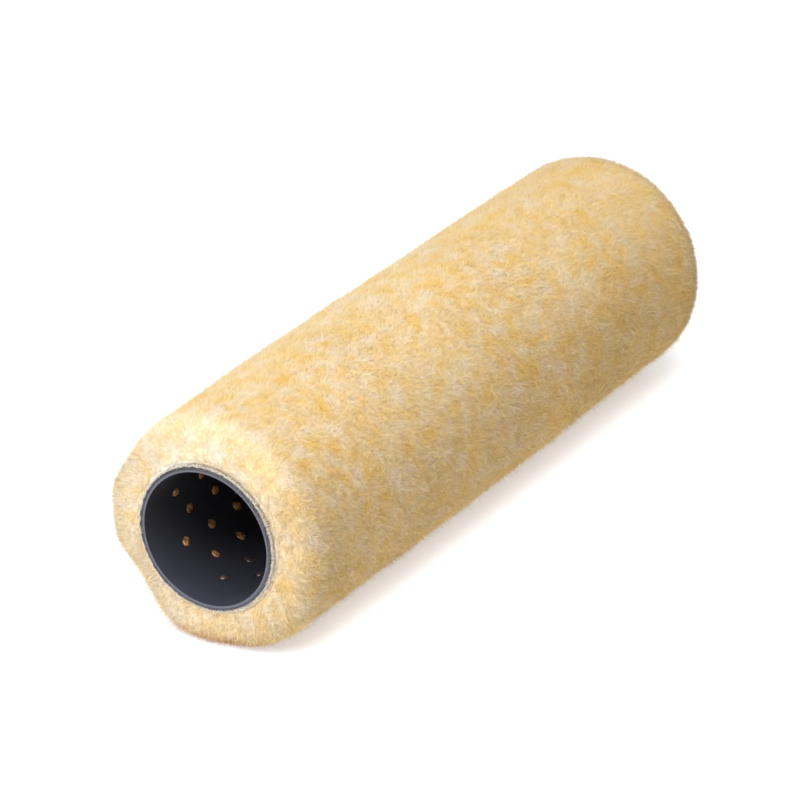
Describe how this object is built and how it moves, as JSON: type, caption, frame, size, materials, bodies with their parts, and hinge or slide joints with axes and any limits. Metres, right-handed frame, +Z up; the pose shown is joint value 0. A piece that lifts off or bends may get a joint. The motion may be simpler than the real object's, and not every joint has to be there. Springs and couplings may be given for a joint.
{
  "type": "paint roller sleeve",
  "caption": "Loose paint roller sleeve: a perforated plastic core tube inside a deep cream and golden fibre nap with rounded ends.",
  "frame": {"origin": "on the resting surface, below the middle of the sleeve", "axes": "+X along the sleeve's axis, +Z up, so the sleeve lies on its side"},
  "size_m": [0.2286, 0.0676, 0.0667],
  "materials": {
    "core_plastic": "dark grey smooth moulded plastic",
    "cured_glue": "clear amber cured glue",
    "backing_cloth": "white knitted cloth",
    "pile_fibre": "mottled cream and golden fibre nap"
  },
  "bodies": {
    "root": {"core_tube": "core_plastic", "adhesive_film": "cured_glue", "knit_backing": "backing_cloth", "pile": "pile_fibre"}
  },
  "joints": []
}
